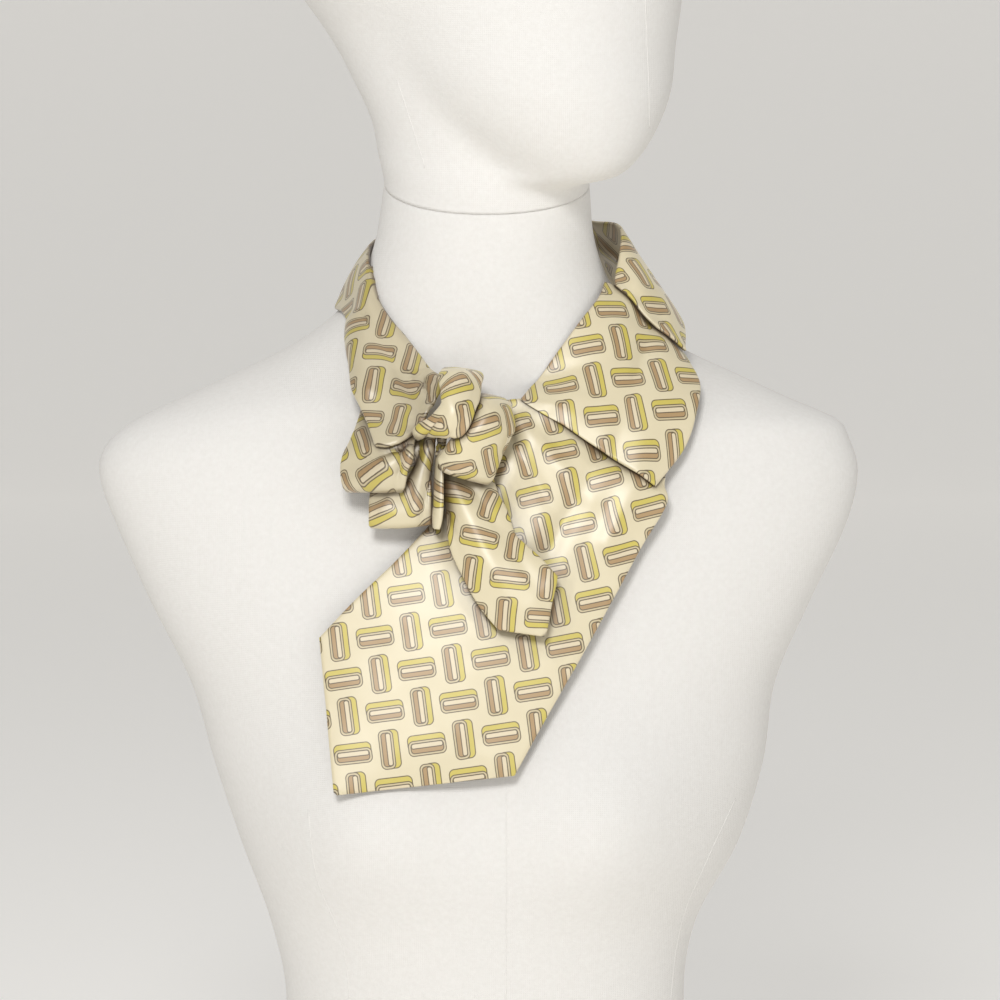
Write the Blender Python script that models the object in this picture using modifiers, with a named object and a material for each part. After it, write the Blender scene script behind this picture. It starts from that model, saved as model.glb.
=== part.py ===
"""A wide silk cravat, wound once round the neck of a limbless dress form and tied left of centre.

The form stands on the floor with the middle of its base at the origin, +Z up, and faces -Y. Sizes in the
tables are millimetres; meshes are in metres. Each stretch of the cravat that shows is its own object: a
wall of folded cloth laid over whatever is beneath it.
"""

from math import cos, pi, radians, sin

import bpy
import numpy as np
from mathutils import Vector
from mathutils.bvhtree import BVHTree

MM = 0.001

# Driving dimensions
CLOTH = 2.2             # a necktie's doubled silk with its interlining
LAY_GAP = 0.7           # air between a layer and what it lies on
SEAM_GAP = 0.3          # between two stretches cut from one strip, and between the neck and the head
HEAD_TURN = radians(50) # the head looks to its left
JAW_SOFTNESS = 8        # how softly the chin and the nape join
FORM_POINTS = 40        # points round a section of the form
BUST_ACROSS = 62        # each bust point from the middle
BUST_HEIGHT = 226
BUST_DEPTH = 20
BUST_SPREAD = 44

SILK = ("silk", (0.86, 0.80, 0.62), 0.45)
LINEN = ("linen", (0.85, 0.82, 0.75), 0.9)

# Level sections of the torso: the height at the sides, where it reaches to left, right, front and back,
# the slope (how much it rises per mm towards the back) and how square its corners are.
TORSO_COLUMNS = ("height", "left", "right", "front", "back", "slope", "square")
TORSO = (
    (0, -124, 126, -84, 96, 0.00, 2.2),
    (60, -113, 115, -82, 90, 0.00, 2.2),
    (125, -104, 104, -80, 76, 0.00, 2.2),
    (166, -112, 110, -86, 74, 0.00, 2.2),
    (208, -127, 132, -96, 77, 0.00, 2.2),
    (250, -141, 145, -98, 83, 0.00, 2.2),
    (291, -153, 151, -94, 88, 0.00, 2.2),
    (333, -174, 169, -87, 89, 0.00, 2.2),
    (374, -192, 188, -77, 86, 0.00, 2.2),
    (393, -199, 193, -72, 82, 0.00, 2.2),
    (406, -200, 193, -68, 78, 0.00, 2.2),
    (417, -194, 189, -65, 74, 0.02, 2.2),
    (427, -181, 183, -62, 71, 0.05, 2.2),
    (437, -159, 159, -60, 68, 0.10, 2.2),
    (447, -135, 135, -58, 65, 0.18, 2.2),
    (457, -110, 109, -56, 62, 0.27, 2.2),
    (468, -90, 90, -55, 59, 0.34, 2.2),
    (480, -76, 76, -54, 57, 0.38, 2.2),
    (496, -65, 65, -53, 55, 0.38, 2.1),
    (518, -57, 57, -52, 54, 0.36, 2.1),
    (549, -52, 54, -52, 53, 0.32, 2.1),
)

# Sections of the head above the neck: the height, how much it rises per mm towards the back and how much it
# drops towards the chin, an oval for the chin (how far forward its middle sits, its half length and half
# width), a round for the nape (how far back its middle sits, its reach), and how far the section has left
# the neck's outline for its own.
HEAD_COLUMNS = (
    "height", "slope", "tilt", "chin_forward", "chin_length", "chin_width", "nape_back", "nape_reach", "own"
)
HEAD = (
    (549.3, 0.32, 0.00, 20, 30, 30, 0, 52.0, 0.0),
    (556, 0.29, 0.04, 20, 32, 30, 1, 53.0, 0.6),
    (563, 0.26, 0.08, 24, 36, 32, 2, 53.5, 1.0),
    (569, 0.23, 0.12, 30, 43, 34, 3, 54.0, 1.0),
    (575, 0.20, 0.15, 34, 50, 36, 4, 55.0, 1.0),
    (583, 0.15, 0.15, 36, 57, 45, 6, 57.0, 1.0),
    (592, 0.10, 0.14, 34, 65, 55, 8, 60.0, 1.0),
    (608, 0.05, 0.12, 30, 75, 66, 12, 65.0, 1.0),
    (625, 0.00, 0.08, 24, 82, 73, 15, 72.0, 1.0),
    (645, 0.00, 0.04, 14, 95, 80, 15, 84.0, 1.0),
    (664, 0.00, 0.00, 4, 106, 85, 10, 92.0, 1.0),
    (690, 0.00, 0.00, -2, 106, 84, 4, 90.0, 1.0),
    (718, 0.00, 0.00, -3, 94, 76, 0, 72.0, 1.0),
    (742, 0.00, 0.00, -3, 75, 61, 0, 52.0, 1.0),
    (758, 0.00, 0.00, -3, 52, 43, 0, 32.0, 1.0),
    (767, 0.00, 0.00, -2, 28, 24, 0, 14.0, 1.0),
    (770, 0.00, 0.00, -2, 8, 7, 0, 4.0, 1.0),
)

# Sections across each stretch of cloth: the x, y, z of one edge, the middle and the other edge.

# One strip goes round the neck, from the knot, up the left, behind and down the right. Edge 1 is the upper.
NECK_BAND = (
    (-19, -77, 448, -36, -91, 422, -52, -90, 416),
    (-21, -71, 451, -40, -85, 430, -57, -84, 426),
    (-26, -64, 454, -44, -77, 439, -62, -76, 436),
    (-32, -55, 460, -50, -67, 453, -66, -66, 445),
    (-43, -42, 474, -55, -56, 464, -67, -54, 455),
    (-52, -25, 489, -60, -40, 479, -69, -34, 468),
    (-57, -8, 508, -63, -14, 495, -70, -10, 480),
    (-58, 14, 517, -69, 16, 501, -76, 18, 483),
    (-46, 40, 523, -55, 50, 507, -61, 56, 489),
    (-22, 56, 527, -26, 66, 510, -28, 73, 492),
    (4, 60, 529, 4, 71, 512, 4, 78, 494),
    (32, 55, 530, 37, 66, 512, 41, 72, 494),
    (56, 38, 529, 63, 46, 511, 71, 52, 491),
    (69, 14, 526, 79, 20, 509, 91, 26, 485),
    (69, -2, 511, 86, -2, 497, 101, 4, 477),
    (67, -10, 502, 88, -14, 487, 102, -12, 469),
    (65, -17, 495, 83, -27, 477, 99, -26, 461),
)
BAND_NAMES = ("collar_left", "collar_back", "collar_right_back")
BAND_SHARES = (0, 0.37, 0.77, 1)    # where along the strip each of them begins and ends

RIGHT_FRONT = (
    (18, -64, 440, 55, -76, 417, 85, -75, 396),
    (24, -58, 447, 64, -70, 428, 100, -66, 415),
    (30, -53, 454, 69, -61, 442, 107, -57, 434),
    (39, -48, 466, 73, -50, 456, 109, -44, 446),
    (48, -41, 478, 77, -37, 470, 104, -32, 456),
    (57, -29, 489, 79, -24, 478, 100, -20, 462),
    (61, -14, 497, 82, -9, 486, 101, -3, 469),
)

BLADE = (
    (-82, -88, 322, -34, -103, 290, 15, -110, 256),
    (-64, -87, 341, -16, -99, 314, 32, -104, 286),
    (-44, -84, 360, 3, -94, 339, 49, -97, 315),
    (-26, -80, 379, 21, -88, 364, 66, -89, 345),
    (-10, -76, 397, 36, -82, 385, 79, -82, 368),
    (0, -73, 415, 45, -78, 404, 91, -77, 388),
    (6, -68, 427, 45, -70, 421, 90, -72, 397),
    (10, -64, 439, 44, -65, 435, 92, -66, 410),
)
BLADE_POINT = (-74, -109, 246)

TAIL = (
    (7, -104, 328, 22, -106, 340, 36, -101, 354),
    (-2, -102, 339, 15, -104, 352, 28, -98, 362),
    (-10, -99, 353, 6, -102, 361, 20, -95, 369),
    (-16, -95, 366, 0, -99, 371, 15, -93, 374),
    (-19, -91, 382, -4, -96, 383, 11, -90, 385),
    (-21, -86, 395, -7, -91, 395, 6, -86, 394),
    (-21, -82, 406, -9, -87, 404, 3, -82, 404),
)
TAIL_POINT = (30, -107, 325)

LOWER_LOOP = (
    (-32, -82, 422, -28, -83, 422, -24, -82, 422),
    (-40, -83, 416, -33, -86, 416, -25, -86, 416),
    (-49, -84, 408, -37, -88, 407, -26, -88, 408),
    (-55, -86, 399, -41, -90, 399, -26, -90, 400),
    (-57, -87, 390, -42, -91, 390, -26, -92, 391),
    (-57, -89, 383, -42, -92, 382, -26, -92, 384),
    (-57, -88, 379, -42, -91, 379, -26, -91, 381),
    (-57, -86, 380, -42, -88, 380, -26, -88, 382),
    (-56, -84, 386, -41, -87, 385, -26, -87, 387),
    (-54, -82, 394, -40, -85, 394, -26, -85, 396),
)

LEFT_LOOP = (
    (-62, -62, 434, -47, -68, 431, -34, -76, 422),
    (-64, -70, 426, -49, -82, 424, -34, -88, 421),
    (-67, -76, 418, -51, -90, 417, -35, -92, 418),
    (-70, -81, 412, -53, -94, 410, -36, -95, 413),
    (-71, -85, 405, -54, -96, 403, -38, -96, 407),
    (-70, -87, 400, -54, -96, 399, -39, -96, 402),
    (-69, -86, 397, -54, -94, 397, -40, -94, 397),
    (-68, -83, 397, -54, -92, 397, -41, -92, 398),
    (-68, -80, 401, -54, -90, 401, -40, -90, 403),
    (-67, -74, 408, -52, -85, 408, -38, -87, 409),
)

KNOT_FOLD = (
    (-22, -82, 421, -21, -84, 421, -18, -83, 421),
    (-23, -88, 411, -22, -89, 411, -19, -88, 411),
    (-24, -92, 400, -22, -94, 400, -20, -93, 400),
    (-25, -94, 390, -22, -96, 390, -20, -96, 390),
    (-25, -95, 380, -22, -97, 380, -21, -97, 380),
    (-24, -95, 376, -22, -97, 376, -21, -97, 376),
)

KNOT_WRAP = (
    (-2, -66, 440, 4, -67, 439, 10, -66, 438),
    (-4, -78, 442, 3, -82, 441, 10, -74, 439),
    (-5, -88, 439, 3, -93, 438, 12, -80, 437),
    (-7, -94, 434, 3, -99, 433, 13, -84, 433),
    (-10, -96, 428, 1, -101, 427, 14, -87, 427),
    (-16, -97, 421, -2, -101, 420, 12, -89, 420),
    (-20, -97, 415, -6, -101, 414, 9, -90, 414),
    (-22, -97, 411, -8, -100, 408, 6, -91, 407),
    (-21, -97, 408, -10, -99, 404, 3, -92, 401),
    (-20, -92, 409, -10, -93, 405, 1, -88, 402),
)

KNOT_TAB = (
    (-33, -92, 425, -34, -93, 424, -33, -91, 422),
    (-30, -96, 428, -30, -98, 426, -29, -95, 423),
    (-26, -99, 431, -25, -102, 428, -23, -98, 424),
    (-22, -101, 435, -20, -105, 431, -17, -101, 423),
    (-19, -101, 440, -15, -106, 435, -11, -103, 424),
    (-20, -98, 444, -14, -104, 439, -7, -102, 429),
    (-21, -94, 447, -13, -101, 444, -4, -98, 435),
    (-22, -90, 451, -12, -97, 449, -3, -94, 441),
    (-22, -86, 452, -12, -92, 453, -2, -89, 447),
    (-21, -80, 454, -11, -85, 454, -1, -83, 451),
    (-20, -74, 454, -11, -77, 454, -2, -75, 452),
    (-19, -70, 451, -11, -71, 451, -3, -71, 450),
    (-18, -68, 445, -11, -68, 444, -4, -68, 443),
)

# Folds across a stretch: where each starts and ends (along and across it, 0 to 1), its half width and how
# far it stands out, or in where that is negative.
FOLD_COLUMNS = ("along1", "across1", "along2", "across2", "half_width", "height")
BAND_FOLDS = (
    (0.02, 0.35, 0.22, 0.55, 4, -2.0),
    (0.10, 0.75, 0.24, 0.80, 5, 2.0),
    (0.55, 0.30, 0.78, 0.45, 6, -2.0),
    (0.74, 0.25, 0.95, 0.30, 6, 2.5),
    (0.80, 0.55, 0.98, 0.62, 5, -2.0),
)
RIGHT_FOLDS = (
    (0.00, 0.18, 0.85, 0.25, 7, 2.0),
    (0.05, 0.38, 0.60, 0.42, 6, -1.5),
    (0.10, 0.70, 0.90, 0.66, 9, 2.0),
)
BLADE_FOLDS = (
    (0.72, 0.20, 1.00, 0.10, 6, 2.0),
    (0.66, 0.42, 1.00, 0.28, 6, -1.5),
    (0.60, 0.75, 1.00, 0.60, 9, 2.0),
)


def clear_scene():
    for scene_object in list(bpy.data.objects):
        bpy.data.objects.remove(scene_object)


def material(name, colour, roughness):
    made = bpy.data.materials.get(name)
    if made is None:
        made = bpy.data.materials.new(name)
        made.use_nodes = True
        shader = made.node_tree.nodes["Principled BSDF"]
        shader.inputs["Base Color"].default_value = (*colour, 1)
        shader.inputs["Roughness"].default_value = roughness
    return made


def add_object(name, mesh, look):
    mesh.materials.append(material(*look))
    made = bpy.data.objects.new(name, mesh)
    collection = bpy.data.collections.get("cravat")
    if collection is None:
        collection = bpy.data.collections.new("cravat")
        bpy.context.scene.collection.children.link(collection)
    collection.objects.link(made)
    mesh.shade_smooth()
    mesh.set_sharp_from_angle(angle=radians(50))
    return made


def column(rows, columns, name):
    return np.array([row[columns.index(name)] for row in rows], dtype=float)


def through(stations, values, wanted):
    """Values of a smooth curve through each row of values, read at the wanted stations."""
    steps = np.diff(stations)
    rates = np.diff(values, axis=0) / steps[:, None]
    slopes = np.vstack((rates[:1], (rates[1:] + rates[:-1]) / 2, rates[-1:]))
    found = []
    for place in wanted:
        index = int(np.clip(np.searchsorted(stations, place, side="right") - 1, 0, len(steps) - 1))
        step = steps[index]
        part = (place - stations[index]) / step
        start = (1 + 2 * part) * (1 - part) ** 2 * values[index]
        leave = part * (1 - part) ** 2 * step * slopes[index]
        end = part * part * (3 - 2 * part) * values[index + 1]
        arrive = part * part * (part - 1) * step * slopes[index + 1]
        found.append(start + leave + end + arrive)
    return np.array(found)


def torso_ring(row, count):
    """One section of the torso, as points round it from its right side towards its back."""
    values = dict(zip(TORSO_COLUMNS, row))
    angles = np.arange(count) * 2 * pi / count
    middle = (values["right"] + values["left"]) / 2
    reach = (values["right"] - values["left"]) / 2
    power = 2 / values["square"]
    across = middle + reach * np.sign(np.cos(angles)) * np.abs(np.cos(angles)) ** power
    depth = np.where(np.sin(angles) > 0, values["back"], -values["front"])
    along = depth * np.sign(np.sin(angles)) * np.abs(np.sin(angles)) ** power
    height = values["height"] + values["slope"] * along
    for side in (-1, 1):
        off = ((across - side * BUST_ACROSS) ** 2 + (height - BUST_HEIGHT) ** 2) / BUST_SPREAD ** 2
        along = along - np.where(np.sin(angles) < 0, BUST_DEPTH * np.exp(-off), 0)
    return np.stack((across, along, height), axis=1)


def reach_of_oval(turned, forward, length, width):
    """How far a ray from the middle of the neck reaches before it leaves an oval set forward of it."""
    square = (np.cos(turned) / length) ** 2 + (np.sin(turned) / width) ** 2
    linear = -2 * forward * np.cos(turned) / length ** 2
    rest = (forward / length) ** 2 - 1
    return (np.sqrt(linear ** 2 - 4 * square * rest) - linear) / (2 * square)


def head_ring(row, neck, count):
    """One section of the head: a chin and a nape oval joined softly, blended from the neck's outline."""
    values = dict(zip(HEAD_COLUMNS, row))
    angles = np.arange(count) * 2 * pi / count
    front = HEAD_TURN - pi / 2
    turned = angles - front
    chin = reach_of_oval(turned, values["chin_forward"], values["chin_length"], values["chin_width"])
    nape = reach_of_oval(turned, -values["nape_back"], values["nape_reach"], values["nape_reach"])
    reach = (chin + nape + np.sqrt((chin - nape) ** 2 + JAW_SOFTNESS ** 2)) / 2
    across = neck[:, 0] + (reach * np.cos(angles) - neck[:, 0]) * values["own"]
    along = neck[:, 1] + (reach * np.sin(angles) - neck[:, 1]) * values["own"]
    toward_chin = across * cos(front) + along * sin(front)
    height = values["height"] + values["slope"] * along - values["tilt"] * toward_chin
    return np.stack((across, along, height), axis=1)


def loft(name, rings, look):
    """A closed body through rings of points, lowest first, with a flat face at each end."""
    count = len(rings[0])
    points = np.concatenate(rings) * MM
    faces = [tuple(reversed(range(count)))]
    for ring in range(len(rings) - 1):
        low = ring * count
        for place in range(count):
            after = (place + 1) % count
            faces.append((low + place, low + after, low + count + after, low + count + place))
    top = (len(rings) - 1) * count
    faces.append(tuple(range(top, top + count)))
    mesh = bpy.data.meshes.new(name)
    mesh.from_pydata(points.tolist(), [], faces)
    return add_object(name, mesh, look)


def build_form():
    heights = column(TORSO, TORSO_COLUMNS, "height")
    wanted = np.unique(np.concatenate((heights, (heights[:6] + heights[1:7]) / 2)))
    rows = through(heights, np.array(TORSO, dtype=float), wanted)
    torso = loft("form_torso", [torso_ring(row, FORM_POINTS) for row in rows], LINEN)
    neck = torso_ring(TORSO[-1], FORM_POINTS)
    head = loft("form_head", [head_ring(row, neck, FORM_POINTS) for row in HEAD], LINEN)
    return torso, head


class Cover:
    """What lies beneath the next stretch: the outermost surface met from outside."""

    REACH = 90 * MM

    def __init__(self):
        self.trees = []

    def add(self, body):
        graph = bpy.context.evaluated_depsgraph_get()
        shape = body.evaluated_get(graph)
        mesh = shape.to_mesh()
        mesh.calc_loop_triangles()
        points = [body.matrix_world @ vertex.co for vertex in mesh.vertices]
        faces = [tuple(triangle.vertices) for triangle in mesh.loop_triangles]
        self.trees.append(BVHTree.FromPolygons(points, faces))
        shape.to_mesh_clear()

    def shortfall(self, point, way):
        """How far a point must move along its way out to reach the surface met from outside."""
        start = Vector(point * MM) + Vector(way) * self.REACH
        needed = -self.REACH
        for tree in self.trees:
            place, _, _, distance = tree.ray_cast(start, -Vector(way), 2 * self.REACH)
            if place is not None:
                needed = max(needed, self.REACH - distance)
        return needed / MM


def blur(values):
    padded = np.pad(values, 1, mode="edge")
    total = 4 * padded[1:-1, 1:-1]
    total += 2 * (padded[:-2, 1:-1] + padded[2:, 1:-1] + padded[1:-1, :-2] + padded[1:-1, 2:])
    total += padded[:-2, :-2] + padded[:-2, 2:] + padded[2:, :-2] + padded[2:, 2:]
    return total / 16


def normals_of(grid):
    along = np.gradient(grid, axis=0)
    across = np.gradient(grid, axis=1)
    normals = np.cross(along, across)
    return normals / np.maximum(np.linalg.norm(normals, axis=2, keepdims=True), 1e-9)


def surface(rows, along_count, across_count):
    """A grid of points over a stretch, evenly spaced along it."""
    table = np.array(rows, dtype=float)
    middles = table[:, 3:6]
    lengths = np.concatenate(([0.0], np.cumsum(np.linalg.norm(np.diff(middles, axis=0), axis=1))))
    sections = through(lengths, table, np.linspace(0, lengths[-1], along_count))
    part = np.linspace(0, 1, across_count)[None, :, None]
    edge1, middle, edge2 = (sections[:, None, index:index + 3] for index in (0, 3, 6))
    first_weight = 2 * (part - 0.5) * (part - 1)
    middle_weight = 4 * part * (1 - part)
    return first_weight * edge1 + middle_weight * middle + 2 * part * (part - 0.5) * edge2


def fold(grid, folds, out):
    """Raises soft ridges and troughs, given along and across the grid, towards its outer side."""
    high = len(grid) - 1
    wide = len(grid[0]) - 1
    lift = np.zeros(grid.shape[:2])
    for row in folds:
        values = dict(zip(FOLD_COLUMNS, row))
        start = grid[round(values["along1"] * high), round(values["across1"] * wide)]
        end = grid[round(values["along2"] * high), round(values["across2"] * wide)]
        line = end - start
        part = np.clip(((grid - start) @ line) / (line @ line), 0, 1)
        off = np.linalg.norm(grid - start - part[..., None] * line, axis=2)
        lift += values["height"] * np.exp(-(off / values["half_width"]) ** 2)
    return grid + lift[..., None] * out


def lay(grid, cover, ways, step, gap):
    """Lifts a fine grid until both its faces clear the cover, and keeps every step-th point of it."""
    outer = grid + CLOTH * normals_of(grid)
    needed = np.zeros(grid.shape[:2])
    for index in np.ndindex(needed.shape):
        inner_short = cover.shortfall(grid[index], ways[index])
        outer_short = cover.shortfall(outer[index], ways[index])
        needed[index] = max(inner_short, outer_short, -gap) + gap
    spread = np.pad(needed, step, mode="edge")
    widest = needed.copy()
    for down in range(2 * step + 1):
        for right in range(2 * step + 1):
            shifted = spread[down:down + needed.shape[0], right:right + needed.shape[1]]
            widest = np.maximum(widest, shifted)
    lift = widest
    for _ in range(3 * step):
        lift = np.maximum(widest, blur(lift))
    return (grid + lift[..., None] * ways)[::step, ::step]


def wall(name, grid, thickness, tip=None):
    """A grid of points, and a point beyond its first row if it ends in one, thickened outwards."""
    high, wide = grid.shape[:2]
    points = (grid.reshape(-1, 3) * MM).tolist()
    faces = []
    for row in range(high - 1):
        for place in range(wide - 1):
            corner = row * wide + place
            faces.append((corner, corner + wide, corner + wide + 1, corner + 1))
    if tip is not None:
        points.append((np.array(tip) * MM).tolist())
        faces.extend((len(points) - 1, place, place + 1) for place in range(wide - 1))
    mesh = bpy.data.meshes.new(name)
    mesh.from_pydata(points, [], faces)
    body = add_object(name, mesh, SILK)
    solid = body.modifiers.new("wall", "SOLIDIFY")
    solid.thickness = thickness * MM
    solid.offset = 1
    solid.use_even_offset = False
    return body


def ways_out(grid, style):
    """The way out at each point: straight ahead on the chest, or away from the neck and up round it."""
    if style == "chest":
        ways = np.zeros_like(grid)
        ways[..., 1] = -1
        ways[..., 2] = 0.15
    else:
        ways = grid.copy()
        ways[..., 2] = 0.45 * np.linalg.norm(grid[..., :2], axis=2)
    return ways / np.linalg.norm(ways, axis=2, keepdims=True)


def laid_surface(rows, cells, cover, style="chest", folds=(), gap=LAY_GAP):
    """A stretch's inner face: its rows smoothed, folded and lifted clear of the cover."""
    finer = 3
    along, across = (count * finer + 1 for count in cells)
    grid = surface(rows, along, across)
    ways = ways_out(grid, style)
    if np.sum(normals_of(grid) * ways) < 0:
        grid = grid[:, ::-1]
        ways = ways[:, ::-1]
    if folds:
        grid = fold(grid, folds, normals_of(grid))
    return lay(grid, cover, ways, finer, gap)


def stretch(name, rows, cells, cover, style="chest", folds=(), tip=None, gap=LAY_GAP):
    """One stretch of the cravat, laid over the cover, which it then joins."""
    cover.add(wall(name, laid_surface(rows, cells, cover, style, folds, gap), CLOTH, tip))


def cut_band(grid, names, shares, cover):
    """One laid strip cut across into stretches, a seam's gap apart."""
    ends = [round(share * (len(grid) - 1)) for share in shares]
    for index, name in enumerate(names):
        piece = grid[ends[index]:ends[index + 1] + 1].copy()
        for end, inner in ((0, 1), (-1, -2)):
            if (end == 0 and index > 0) or (end == -1 and index < len(names) - 1):
                along = piece[inner] - piece[end]
                piece[end] += along / np.linalg.norm(along, axis=1, keepdims=True) * SEAM_GAP / 2
        cover.add(wall(name, piece, CLOTH))


def main():
    clear_scene()
    cover = Cover()
    for body in build_form():
        cover.add(body)
    stretch("blade", BLADE, (18, 12), cover, "chest", BLADE_FOLDS, BLADE_POINT)
    stretch("collar_right_front", RIGHT_FRONT, (12, 12), cover, "chest", RIGHT_FOLDS)
    stretch("lower_loop", LOWER_LOOP, (12, 6), cover)
    stretch("left_loop", LEFT_LOOP, (12, 7), cover)
    band = laid_surface(NECK_BAND, (34, 6), cover, "neck", BAND_FOLDS)
    cut_band(band, BAND_NAMES, BAND_SHARES, cover)
    stretch("tail", TAIL, (12, 6), cover, "chest", (), TAIL_POINT)
    stretch("knot_fold", KNOT_FOLD, (8, 2), cover)
    stretch("knot_wrap", KNOT_WRAP, (12, 8), cover, gap=0.5)
    stretch("knot_tab", KNOT_TAB, (14, 6), cover)


main()
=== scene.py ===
"""Looks for a silk cravat tied round the neck of a limbless, linen-covered dress form.

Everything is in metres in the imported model's frame: +Z up, the form facing -Y. Tables are in millimetres.
Each stretch of the cravat is a finer shell on its solid's form, with rounded edges, creases and a print.
"""
from math import cos, pi, radians, sin, sqrt

import bpy
import numpy as np
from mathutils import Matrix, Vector, noise
from mathutils.bvhtree import BVHTree


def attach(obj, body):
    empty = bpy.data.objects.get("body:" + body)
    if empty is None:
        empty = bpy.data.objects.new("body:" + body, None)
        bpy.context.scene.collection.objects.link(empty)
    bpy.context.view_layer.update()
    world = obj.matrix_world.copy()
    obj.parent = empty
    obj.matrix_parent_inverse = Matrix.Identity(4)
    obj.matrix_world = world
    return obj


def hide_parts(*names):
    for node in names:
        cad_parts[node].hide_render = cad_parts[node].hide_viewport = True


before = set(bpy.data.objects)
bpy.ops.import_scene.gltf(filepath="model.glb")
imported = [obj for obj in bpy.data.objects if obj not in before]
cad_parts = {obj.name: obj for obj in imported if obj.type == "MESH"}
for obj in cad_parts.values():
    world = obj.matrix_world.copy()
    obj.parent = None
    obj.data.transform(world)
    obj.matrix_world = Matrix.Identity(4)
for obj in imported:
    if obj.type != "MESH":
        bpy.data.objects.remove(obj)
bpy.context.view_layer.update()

MM = 0.001

# Camera, as the photograph was framed: its middle, its height of view and its distance
VIEW_TARGET = (0.0078, 0.0, 0.3848)
VIEW_ELEVATION = radians(4)
VIEW_DISTANCE = 2.0
VIEW_WIDTH = 0.52
SENSOR = 36.0
FRAME = 1000.0

# The cloth
CLOTH = 2.2             # doubled silk with its interlining
AIR = 0.6               # between a layer and what it lies on
EDGE_ROLL = 1.5         # how far in from an edge the wall reaches its full thickness
ROLL_STEPS = (0.0, 0.12, 0.35, 0.7, 1.1)    # places of the points there, as shares of it
CELL = 1.7              # spacing of the points over the cloth
LAY_STEPS = 24          # how far a stretch that is lifted over an edge slopes away from it

# The print: a square lattice of slotted links, upright and lying by turns
PITCH = 18.5            # from one link to the next
LINK_LENGTH = 18.6
LINK_WIDTH = 7.1
LINK_SHIFT = (2.7, 0.15) # how far the yellow link behind is moved from the one in front
RIM = 1.2               # the pale rim of the front link
LINE = 0.48             # the drawn outlines
LINK_ROUND = 0.70       # how round its corners are
SLOT_WIDTH = 2.4
SLOT_SHIFT = 1.15
SLOT_SHORTER = 0.6      # than the tan field that it lies on

# The form
TORSO_SIDES = 240
HEAD_SIDES = 200
HEAD_TURN = radians(50)
JAW_SOFTNESS = 8
BUST_ACROSS = 62
BUST_HEIGHT = 226
BUST_DEPTH = 20
BUST_SPREAD = 44

TORSO_COLUMNS = ("height", "left", "right", "front", "back", "slope", "square")
TORSO = (
    (0, -124, 126, -84, 96, 0.00, 2.2),
    (60, -113, 115, -82, 90, 0.00, 2.2),
    (125, -104, 104, -80, 76, 0.00, 2.2),
    (166, -112, 110, -86, 74, 0.00, 2.2),
    (208, -127, 132, -96, 77, 0.00, 2.2),
    (250, -141, 145, -98, 83, 0.00, 2.2),
    (291, -153, 151, -94, 88, 0.00, 2.2),
    (333, -174, 169, -87, 89, 0.00, 2.2),
    (374, -192, 188, -77, 86, 0.00, 2.2),
    (393, -199, 193, -72, 82, 0.00, 2.2),
    (406, -200, 193, -68, 78, 0.00, 2.2),
    (417, -194, 189, -65, 74, 0.02, 2.2),
    (427, -181, 183, -62, 71, 0.05, 2.2),
    (437, -159, 159, -60, 68, 0.10, 2.2),
    (447, -135, 135, -58, 65, 0.18, 2.2),
    (457, -110, 109, -56, 62, 0.27, 2.2),
    (468, -90, 90, -55, 59, 0.34, 2.2),
    (480, -76, 76, -54, 57, 0.38, 2.2),
    (496, -65, 65, -53, 55, 0.38, 2.1),
    (518, -57, 57, -52, 54, 0.36, 2.1),
    (549, -52, 54, -52, 53, 0.32, 2.1),
)
HEAD_COLUMNS = (
    "height", "slope", "tilt", "chin_forward", "chin_length", "chin_width", "nape_back", "nape_reach", "own"
)
HEAD = (
    (549.3, 0.32, 0.00, 20, 30, 30, 0, 52.0, 0.0),
    (556, 0.29, 0.04, 20, 32, 30, 1, 53.0, 0.6),
    (563, 0.26, 0.08, 24, 36, 32, 2, 53.5, 1.0),
    (569, 0.23, 0.12, 30, 43, 34, 3, 54.0, 1.0),
    (575, 0.20, 0.15, 34, 50, 36, 4, 55.0, 1.0),
    (583, 0.15, 0.15, 36, 57, 45, 6, 57.0, 1.0),
    (592, 0.10, 0.14, 34, 65, 55, 8, 60.0, 1.0),
    (608, 0.05, 0.12, 30, 75, 66, 12, 65.0, 1.0),
    (625, 0.00, 0.08, 24, 82, 73, 15, 72.0, 1.0),
    (645, 0.00, 0.04, 14, 95, 80, 15, 84.0, 1.0),
    (664, 0.00, 0.00, 4, 106, 85, 10, 92.0, 1.0),
    (690, 0.00, 0.00, -2, 106, 84, 4, 90.0, 1.0),
    (718, 0.00, 0.00, -3, 94, 76, 0, 72.0, 1.0),
    (742, 0.00, 0.00, -3, 75, 61, 0, 52.0, 1.0),
    (758, 0.00, 0.00, -3, 52, 43, 0, 32.0, 1.0),
    (767, 0.00, 0.00, -2, 28, 24, 0, 14.0, 1.0),
    (770, 0.00, 0.00, -2, 8, 7, 0, 4.0, 1.0),
)

# Seams of the linen cover, each through points given across and up, met from the front (-1) or the back (1)
SEAMS = (
    (-1, ((-88, 236), (-84, 200), (-72, 165), (-68, 120), (-66, 60), (-66, 4))),
    (-1, ((128, 236), (113, 205), (102, 175), (96, 130), (94, 60), (94, 4))),
    (-1, ((11, 300), (11, 200), (11, 100), (11, 4))),
    (1, ((-100, 260), (-84, 200), (-70, 150), (-66, 60), (-66, 4))),
    (1, ((100, 260), (84, 200), (70, 150), (66, 60), (66, 4))),
    (1, ((0, 460), (0, 380), (0, 260), (0, 140), (0, 4))),
    (-1, ((80, 640), (82, 600), (83, 575))),
    (-1, ((-44, 600), (-36, 575), (-30, 556))),
)
SEAM_WIDTH = 0.8
SEAM_HEIGHT = 0.14
SEAM_STEP = 2.0
SEAM_START = 300.0      # how far out the rays start that find the form's surface

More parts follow.
